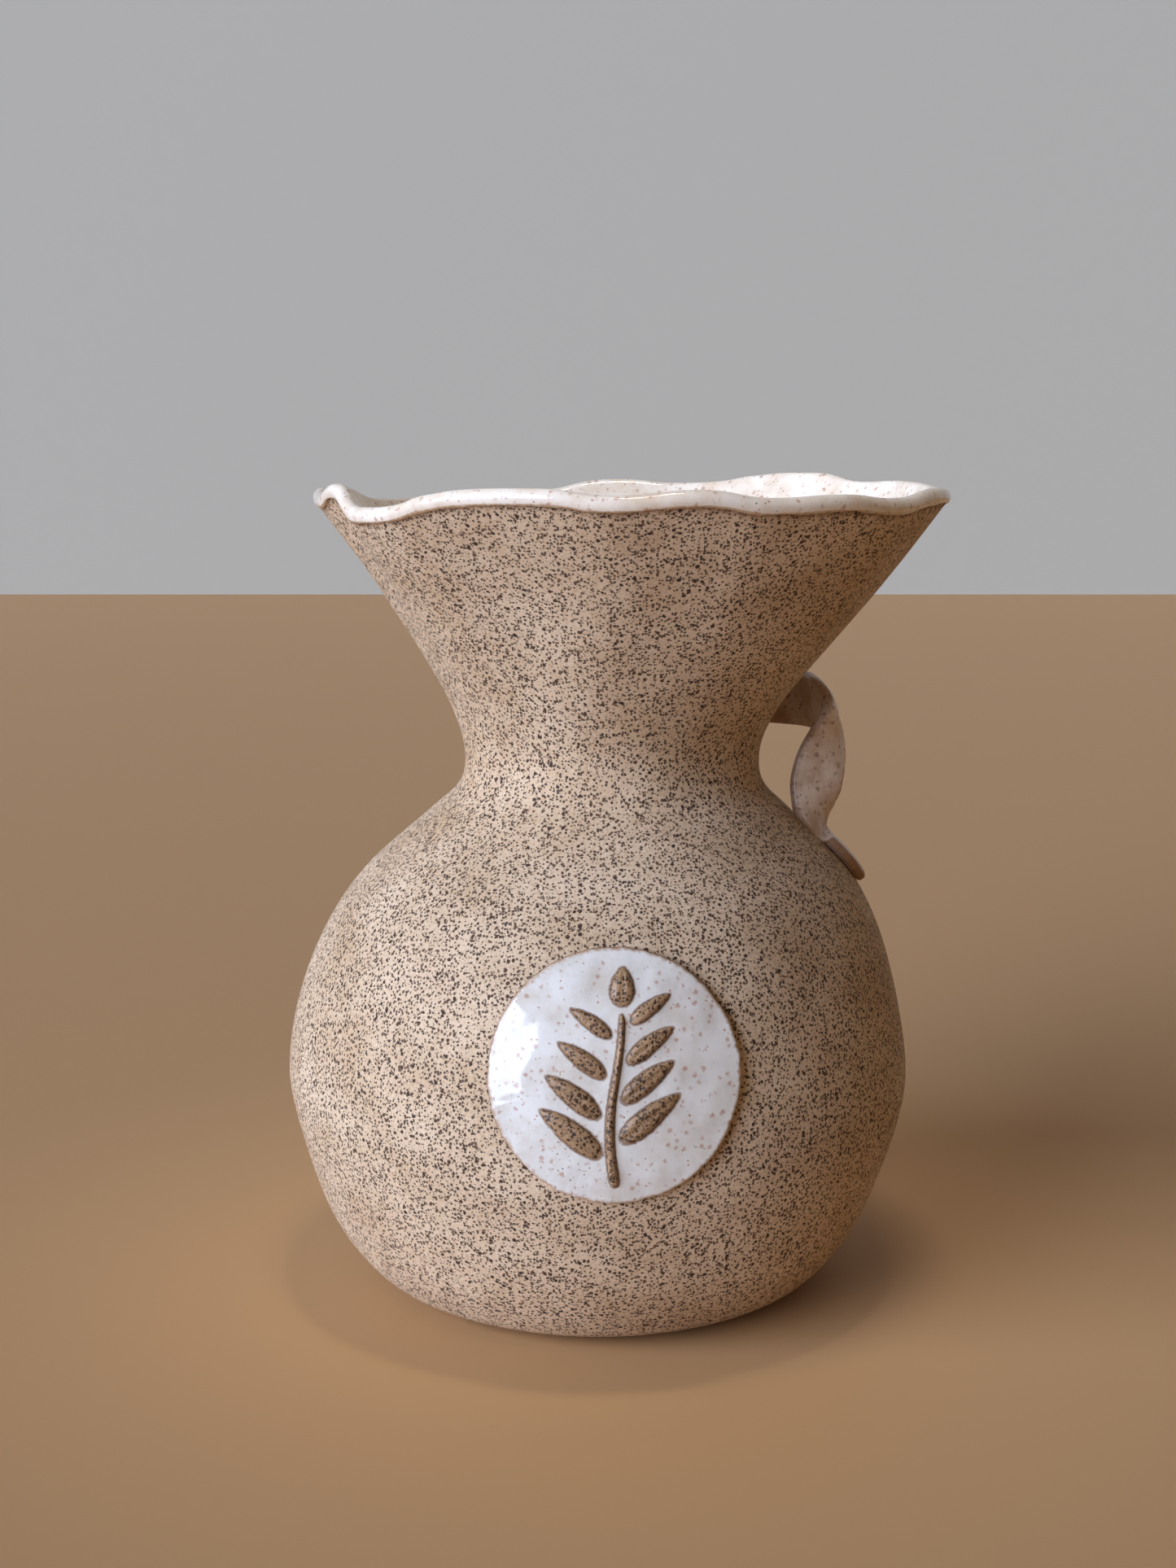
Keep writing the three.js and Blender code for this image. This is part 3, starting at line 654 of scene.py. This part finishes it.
def ribbonStations(form):
    def onWall(azimuth, height, widthIsUp):
        away = Vector((math.cos(math.radians(azimuth)), math.sin(math.radians(azimuth)), 0))
        hit, normal = touchWall(Vector((form["axis"], 0, height)) * mm + away * reachOut, -away)
        around = Vector((0, 0, 1)).cross(normal).normalized()
        return hit + normal * form["standOff"] * mm, normal.cross(-around) if widthIsUp else around

    chosen = [onWall(*spot, True) for spot in form["onCollar"]]
    chosen += [(Vector(spot) * mm, Vector(width)) for spot, width in form["free"]]
    chosen += [onWall(*spot, False) for spot in form["onShoulder"]]
    line = smoothLine([Vector((*spot, *width.normalized())) for spot, width in chosen], form["stations"],
                      ease=form["easeAtEnds"])
    lengths = [0.0]
    for a, b in zip(line, line[1:]):
        lengths.append(lengths[-1] + (b.xyz - a.xyz).length / mm)
    stations = []
    for i, spot in enumerate(line):
        forward = (line[min(i + 1, len(line) - 1)].xyz - line[max(i - 1, 0)].xyz).normalized()
        width = Vector(spot[3:6])
        across = (width - forward * width.dot(forward)).normalized()
        fromEnd = min(lengths[i], lengths[-1] - lengths[i])
        tip = (1 - (1 - min(fromEnd / form["tip"], 1)) ** 2.5) ** 0.5
        edge = (1 - (1 - min(fromEnd / form["thick"], 1)) ** 2) ** 0.5
        stations.append(Vector((*spot.xyz, *across, *forward.cross(across), form["width"] / 2 * tip * mm,
                                form["thick"] / 2 * edge * mm)))
    return stations


handle = rollStrip("ribbonHandle", ribbonStations(ribbonHandle), {
    "Sides": ribbonHandle["sides"], "Roundness": ribbonHandle["roundness"], "Underside": 1.0, "Groove": 0.0,
    "Groove width": 1.0, "Unevenness": ribbonHandle["unevenness"] * mm,
    "Uneven span": ribbonHandle["unevenSpan"] * mm, "Seed": ribbonHandle["seed"],
    "Material": brushedWhiteGlaze})
handIn(handle, "strap_glaze", "handle_strap")

# The medallion: a pressed pad of clay on the belly, with a sprig in relief and a thick pool of glaze.
medallion = {
    "azimuth": -88.2, "axis": 1.5, "height": 81.5, "radius": 31.4, "segments": 384, "seed": 5.1,
    "touch": 12, "wobbleScale": 1.6, "frayScale": 15.0, "lumpSpan": 9, "reliefSeed": 1.3,
    "padSection": {"low": -0.4, "high": 1.25, "rim": 0.6, "step": 1.0},
    "glazeSection": {"low": 0.9, "high": 2.1, "rim": 0.85, "step": 0.42}, "glazeInset": 0.3,
    "wobble": 0.9, "fray": 0.9, "swell": 0.7, "meniscus": 0.5, "meniscusReach": 0.55,
    "reliefFrom": 1.0, "reliefTo": 3.3,
    "stem": {"from": -27, "to": 15, "width": 2.8, "sway": 1.6, "swaySpan": 9, "gap": 0.6,
             "stations": 90, "blunt": 24},
    "leafPairs": 4, "leaf": {"length": 20, "width": 6.2, "spacing": 9.6, "stagger": 0.35, "first": -20,
                             "angle": 47, "curl": 1.6, "dwindle": 0.12, "groove": 0.45,
                             "stations": 40, "blunt": 2.4},
    "bud": {"length": 10.5, "width": 6.2, "above": 1.2},
}
away = Vector((math.cos(math.radians(medallion["azimuth"])), math.sin(math.radians(medallion["azimuth"])), 0))
spot = Vector((medallion["axis"], 0, medallion["height"])) * mm
padCentre, padOut = touchWall(spot + away * reachOut, -away, medallion["touch"])
padAcross = Vector((0, 0, 1)).cross(padOut).normalized()
padUp = padOut.cross(padAcross)
print("medallion centre", [round(c / mm, 1) for c in padCentre])


def layOnWall(x, y, height):
    source = padCentre + padAcross * x * mm + padUp * y * mm + padOut * 0.05
    hit, normal = touchWall(source, -padOut)
    return hit + normal * height * mm, normal


# A blunt strip keeps its full width almost to its ends.
def reliefStations(form, route, widths, strip):
    stations = []
    for i in range(strip["stations"]):
        t = 0.5 - 0.5 * math.cos(math.pi * i / (strip["stations"] - 1))
        (xa, ya), (xb, yb) = route(max(t - 0.01, 0)), route(min(t + 0.01, 1))
        x, y = route(t)
        spot, normal = layOnWall(x, y, form["reliefFrom"])
        ahead = layOnWall(xb, yb, form["reliefFrom"])[0] - layOnWall(xa, ya, form["reliefFrom"])[0]
        across = ahead.normalized().cross(normal)
        full = (1 - abs(2 * t - 1) ** strip["blunt"]) ** 0.5
        rise = (form["reliefTo"] - form["reliefFrom"]) * full
        stations.append(Vector((*spot, *across, *normal, widths(t) / 2 * full * mm, rise * mm)))
    return stations


def stemSway(y):
    return medallion["stem"]["sway"] * math.sin(y / medallion["stem"]["swaySpan"])


def leafRoute(leaf):
    turn = math.radians(leaf["angle"])

    def route(t):
        along, bend = leaf["length"] * t, leaf["curl"] * t * t
        return (leaf["x"] + along * math.sin(turn) + bend * math.cos(turn),
                leaf["y"] + along * math.cos(turn) - bend * math.sin(turn))
    return route


def leafWidths(leaf):
    return lambda t: leaf["width"] * (1 - 0.3 * (2 * t - 1) - 0.25 * (2 * t - 1) ** 2)


reliefLook = {"Sides": 36, "Roundness": 0.9, "Underside": 0.25, "Groove width": 0.5 * mm,
              "Unevenness": 0.5 * mm, "Uneven span": 2.2 * mm, "Material": wipedStoneware}
sprig = bpy.data.collections.new("sprig")
stem = medallion["stem"]
stemStations = reliefStations(
    medallion, lambda t: (stemSway(stem["from"] + (stem["to"] - stem["from"]) * t),
                          stem["from"] + (stem["to"] - stem["from"]) * t),
    lambda t: stem["width"] * (1 - 0.5 * t), stem)
pieces = [("sprigStem", "sprig_stem", stemStations, 0.0)]
leafLook = medallion["leaf"]
growing = []
for i in range(medallion["leafPairs"]):
    for side in (-1, 1):
        size = 1 - leafLook["dwindle"] * i
        y = leafLook["first"] + leafLook["spacing"] * (i + (leafLook["stagger"] if side > 0 else 0))
        hand = "left" if side < 0 else "right"
        growing.append((f"leaf{hand.title()}{i + 1}", f"sprig_leaf_{hand}_{i + 1}", {
            "x": stemSway(y) + side * (stem["width"] / 2 + stem["gap"]), "y": y,
            "angle": side * leafLook["angle"], "curl": side * leafLook["curl"],
            "length": leafLook["length"] * size, "width": leafLook["width"] * size}))
bud = medallion["bud"]
growing.append(("sprigBud", "sprig_bud", {"x": stemSway(stem["to"]), "y": stem["to"] + bud["above"],
                                          "angle": 4, "curl": 0, **bud}))
for name, node, leaf in growing:
    stations = reliefStations(medallion, leafRoute(leaf), leafWidths(leaf), leafLook)
    pieces.append((name, node, stations, leafLook["groove"]))
for k, (name, node, stations, groove) in enumerate(pieces):
    seed = medallion["reliefSeed"] * k
    made = rollStrip(name, stations, {**reliefLook, "Groove": groove * mm, "Seed": seed})
    sprig.objects.link(made)
    handIn(made, "relief_clay", node)


# Presses a round pad or a pool of glaze on to the wall, and lifts it where it meets the relief.
def pressingTree(form):
    tree, given = startTree("Press a disc", {
        "Section": "Object", "Stations": "Int", "Segments": "Int", "Wall": "Object", "Relief": "Collection",
        "Centre": "Vector", "Across": "Vector", "Up": "Vector", "Out": "Vector", "Radius": "Float",
        "Wobble": "Float", "Fray": "Float", "Meniscus": "Float", "Swell": "Float", "Seed": "Float",
        "Material": "Material"})
    swept = sweep(tree, given, "Segments", "Section")
    cosine, sine, place = swept["cosine"], swept["sine"], swept["place"]
    size = add(tree, "SeparateXYZ", [swept["station"]])

    # the rim is cut by hand, so it is a little out of round and frayed
    ring = add(tree, "CombineXYZ", [cosine, sine, given["Seed"]])
    slow = add(tree, "TexNoise", {"Vector": ring, "Scale": form["wobbleScale"], "Detail": 1.0})
    fast = add(tree, "TexNoise", {"Vector": ring, "Scale": form["frayScale"], "Detail": 3.0})
    rim = add(tree, "Math", [size.outputs[0], given["Radius"]], operation="DIVIDE")
    rimOnly = add(tree, "Math", [rim, 4.0], operation="POWER")
    away = add(tree, "Math", [stray(tree, slow, given["Wobble"]), stray(tree, fast, given["Fray"])],
               operation="ADD")
    out = add(tree, "Math", [away, rimOnly, size.outputs[0]], operation="MULTIPLY_ADD")
    x = add(tree, "Math", [cosine, out], operation="MULTIPLY")
    y = add(tree, "Math", [sine, out], operation="MULTIPLY")
    marked = keep(tree, swept["grid"], "towardsRim", rim)
    disc = add(tree, "SetPosition", {"Geometry": marked,
                                     "Position": add(tree, "CombineXYZ", [x, y, size.outputs[2]])})
    disc = add(tree, "MergeByDistance", {"Geometry": disc, "Distance": 0.002 * mm})

    # each point goes straight back to the wall, and then stands off it
    at = add(tree, "SeparateXYZ", [place])
    source = given["Centre"]
    for share, direction in ((at.outputs[0], "Across"), (at.outputs[1], "Up"), (0.05, "Out")):
        arm = add(tree, "VectorMath", {0: given[direction], "Scale": share}, operation="SCALE")
        source = add(tree, "VectorMath", [source, arm], operation="ADD")
    wall = add(tree, "GeometryNodeObjectInfo", [given["Wall"]]).outputs["Geometry"]
    back = add(tree, "VectorMath", {0: given["Out"], "Scale": -1.0}, operation="SCALE")
    ray = add(tree, "Raycast", {"Target Geometry": wall, "Source Position": source, "Ray Direction": back,
                                "Ray Length": 0.1})
    depth = add(tree, "BlurAttribute", {"Value": ray.outputs["Hit Distance"], "Iterations": 12})
    normal = add(tree, "BlurAttribute", {"Value": ray.outputs["Hit Normal"], "Iterations": 30},
                 data_type="FLOAT_VECTOR")
    normal = add(tree, "VectorMath", [normal], operation="NORMALIZE")
    travel = add(tree, "VectorMath", {0: back, "Scale": depth}, operation="SCALE")
    foot = add(tree, "VectorMath", [source, travel], operation="ADD")
    lumps = add(tree, "TexNoise", {"Vector": place, "Scale": 1 / (form["lumpSpan"] * mm), "Detail": 1.0})
    swell = add(tree, "Math", [stray(tree, lumps, given["Swell"]), at.outputs[2]], operation="ADD")
    stand = add(tree, "VectorMath", {0: normal, "Scale": swell}, operation="SCALE")
    laid = add(tree, "VectorMath", [foot, stand], operation="ADD")
    pressed = add(tree, "SetPosition", {"Geometry": disc, "Position": laid})
    facing = keep(tree, pressed, "standing", normal, "FLOAT_VECTOR")

    # glaze climbs the foot of the relief
    relief = add(tree, "CollectionInfo", [given["Relief"]])
    near = add(tree, "GeometryNodeProximity", {0: add(tree, "RealizeInstances", [relief])},
               target_element="FACES").outputs["Distance"]
    reach = add(tree, "Math", [near, form["meniscusReach"] * mm], operation="DIVIDE")
    climb = add(tree, "Math", [math.exp(-1), reach], operation="POWER")
    climbed = add(tree, "Math", [climb, given["Meniscus"]], operation="MULTIPLY")
    outward = add(tree, "InputNamedAttribute", {"Name": "standing"}, data_type="FLOAT_VECTOR")
    raised = add(tree, "VectorMath", {0: outward, "Scale": climbed}, operation="SCALE")
    marked = keep(tree, facing, "toRelief", near)
    lifted = add(tree, "SetPosition", {"Geometry": marked, "Offset": raised})
    return endTree(tree, lifted, given["Material"])


# A disc's section: from the middle of its underside, round its rim, to the middle of its top.
def discSection(radius, form):
    low, high, edge, step = form["low"], form["high"], form["rim"], form["step"]
    under = [Vector((radius * k / 8, 0, low)) for k in range(9)]
    rim = []
    for k in range(9):
        turn = math.pi / 2 * k / 8
        rim.append(Vector((radius - edge + edge * math.cos(turn), 0, high - edge + edge * math.sin(turn))))
    over = []
    r = radius - edge - step
    while r > 2 * step:
        over.append(Vector((r, 0, high)))
        r -= step
    return stationString([p * mm for p in (*under, *rim, *over, Vector((0, 0, high)))])


pressing = pressingTree(medallion)
discSizes = {"Segments": medallion["segments"], "Wall": jugWall, "Relief": sprig, "Centre": padCentre,
             "Across": padAcross, "Up": padUp, "Out": padOut, "Wobble": medallion["wobble"] * mm,
             "Fray": medallion["fray"] * mm, "Seed": medallion["seed"]}
pad = shapeSection("medallionPad", pressing, discSection(medallion["radius"], medallion["padSection"]), {
    **discSizes, "Radius": medallion["radius"] * mm, "Meniscus": 0.0, "Swell": 0.0,
    "Material": pressedStoneware})
glazeRadius = medallion["radius"] - medallion["glazeInset"]
coat = shapeSection("medallionGlaze", pressing, discSection(glazeRadius, medallion["glazeSection"]), {
    **discSizes, "Radius": glazeRadius * mm, "Meniscus": medallion["meniscus"] * mm,
    "Swell": medallion["swell"] * mm, "Material": pooledWhiteGlaze})
bpy.data.collections.remove(sprig)
handIn(pad, "bare_stoneware", "medallion_disc")
handIn(coat, "white_glaze", "medallion_glaze")

# The camera stands a little above the lip and looks slightly down.
viewpoint = {"lens": 50, "away": 601, "aside": -2.6, "height": 241.6, "downwards": 9.577}
camera = bpy.data.objects.new("camera", bpy.data.cameras.new("camera"))
scene.collection.objects.link(camera)
camera.data.lens = viewpoint["lens"]
camera.location = Vector((viewpoint["aside"], -viewpoint["away"], viewpoint["height"])) * mm
camera.rotation_euler = (math.radians(90 - viewpoint["downwards"]), 0, 0)
scene.camera = camera

# A plain floor, soft even light from a window's side, a little from the ceiling and a plain wall far behind.
studio = {
    "room": "#cba06a", "roomStrength": 0.2, "view": "Standard",
    "paintRoughness": 0.7, "paintIor": 1.45,
    "boards": [
        {"name": "floor", "corners": [(-40, -40, 0), (40, -40, 0), (40, 2.4, 0), (-40, 2.4, 0)],
         "colour": "#c49c6e", "glow": 0.0},
        {"name": "backdrop", "corners": [(-20, 2.4, 0), (20, 2.4, 0), (20, 2.4, 4), (-20, 2.4, 4)],
         "colour": "#b6b5ab", "glow": 0.02},
    ],
    "lights": [
        {"name": "windowLight", "kind": "SUN", "place": (-1.24, -0.9, 0.48), "aim": (0, 0, 0.11),
         "power": 6.0, "colour": "#d8e5ff", "form": {"angle": 0.95}},
        {"name": "ceilingLight", "kind": "SPOT", "place": (0.06, -0.07, 1.5), "aim": (0.02, -0.01, 0.21),
         "power": 22, "colour": "#fff2e0",
         "form": {"spot_size": 0.19, "spot_blend": 0.25, "shadow_soft_size": 0.12}},
    ],
}
for board in studio["boards"]:
    made = bpy.data.objects.new(board["name"], bpy.data.meshes.new(board["name"]))
    made.data.from_pydata(board["corners"], [], [(0, 1, 2, 3)])
    scene.collection.objects.link(made)
    paint, paintTree, paintShader = newMaterial(board["name"] + "Paint", studio["paintRoughness"],
                                                 studio["paintIor"])
    paintShader.inputs["Base Color"].default_value = linear(board["colour"])
    paintShader.inputs["Emission Color"].default_value = linear(board["colour"])
    paintShader.inputs["Emission Strength"].default_value = board["glow"]
    made.data.materials.append(paint)
for light in studio["lights"]:
    lamp = bpy.data.objects.new(light["name"], bpy.data.lights.new(light["name"], light["kind"]))
    scene.collection.objects.link(lamp)
    for setting, value in light["form"].items():
        setattr(lamp.data, setting, value)
    lamp.data.energy = light["power"]
    lamp.data.color = linear(light["colour"])[:3]
    lamp.location = light["place"]
    lamp.rotation_euler = (Vector(light["aim"]) - lamp.location).to_track_quat("-Z", "Y").to_euler()
    lamp.visible_camera = False
scene.world = bpy.data.worlds.new("paleRoom")
scene.world.use_nodes = True
background = scene.world.node_tree.nodes["Background"]
background.inputs["Color"].default_value = linear(studio["room"])
background.inputs["Strength"].default_value = studio["roomStrength"]
scene.view_settings.view_transform = studio["view"]
print("studio lit")
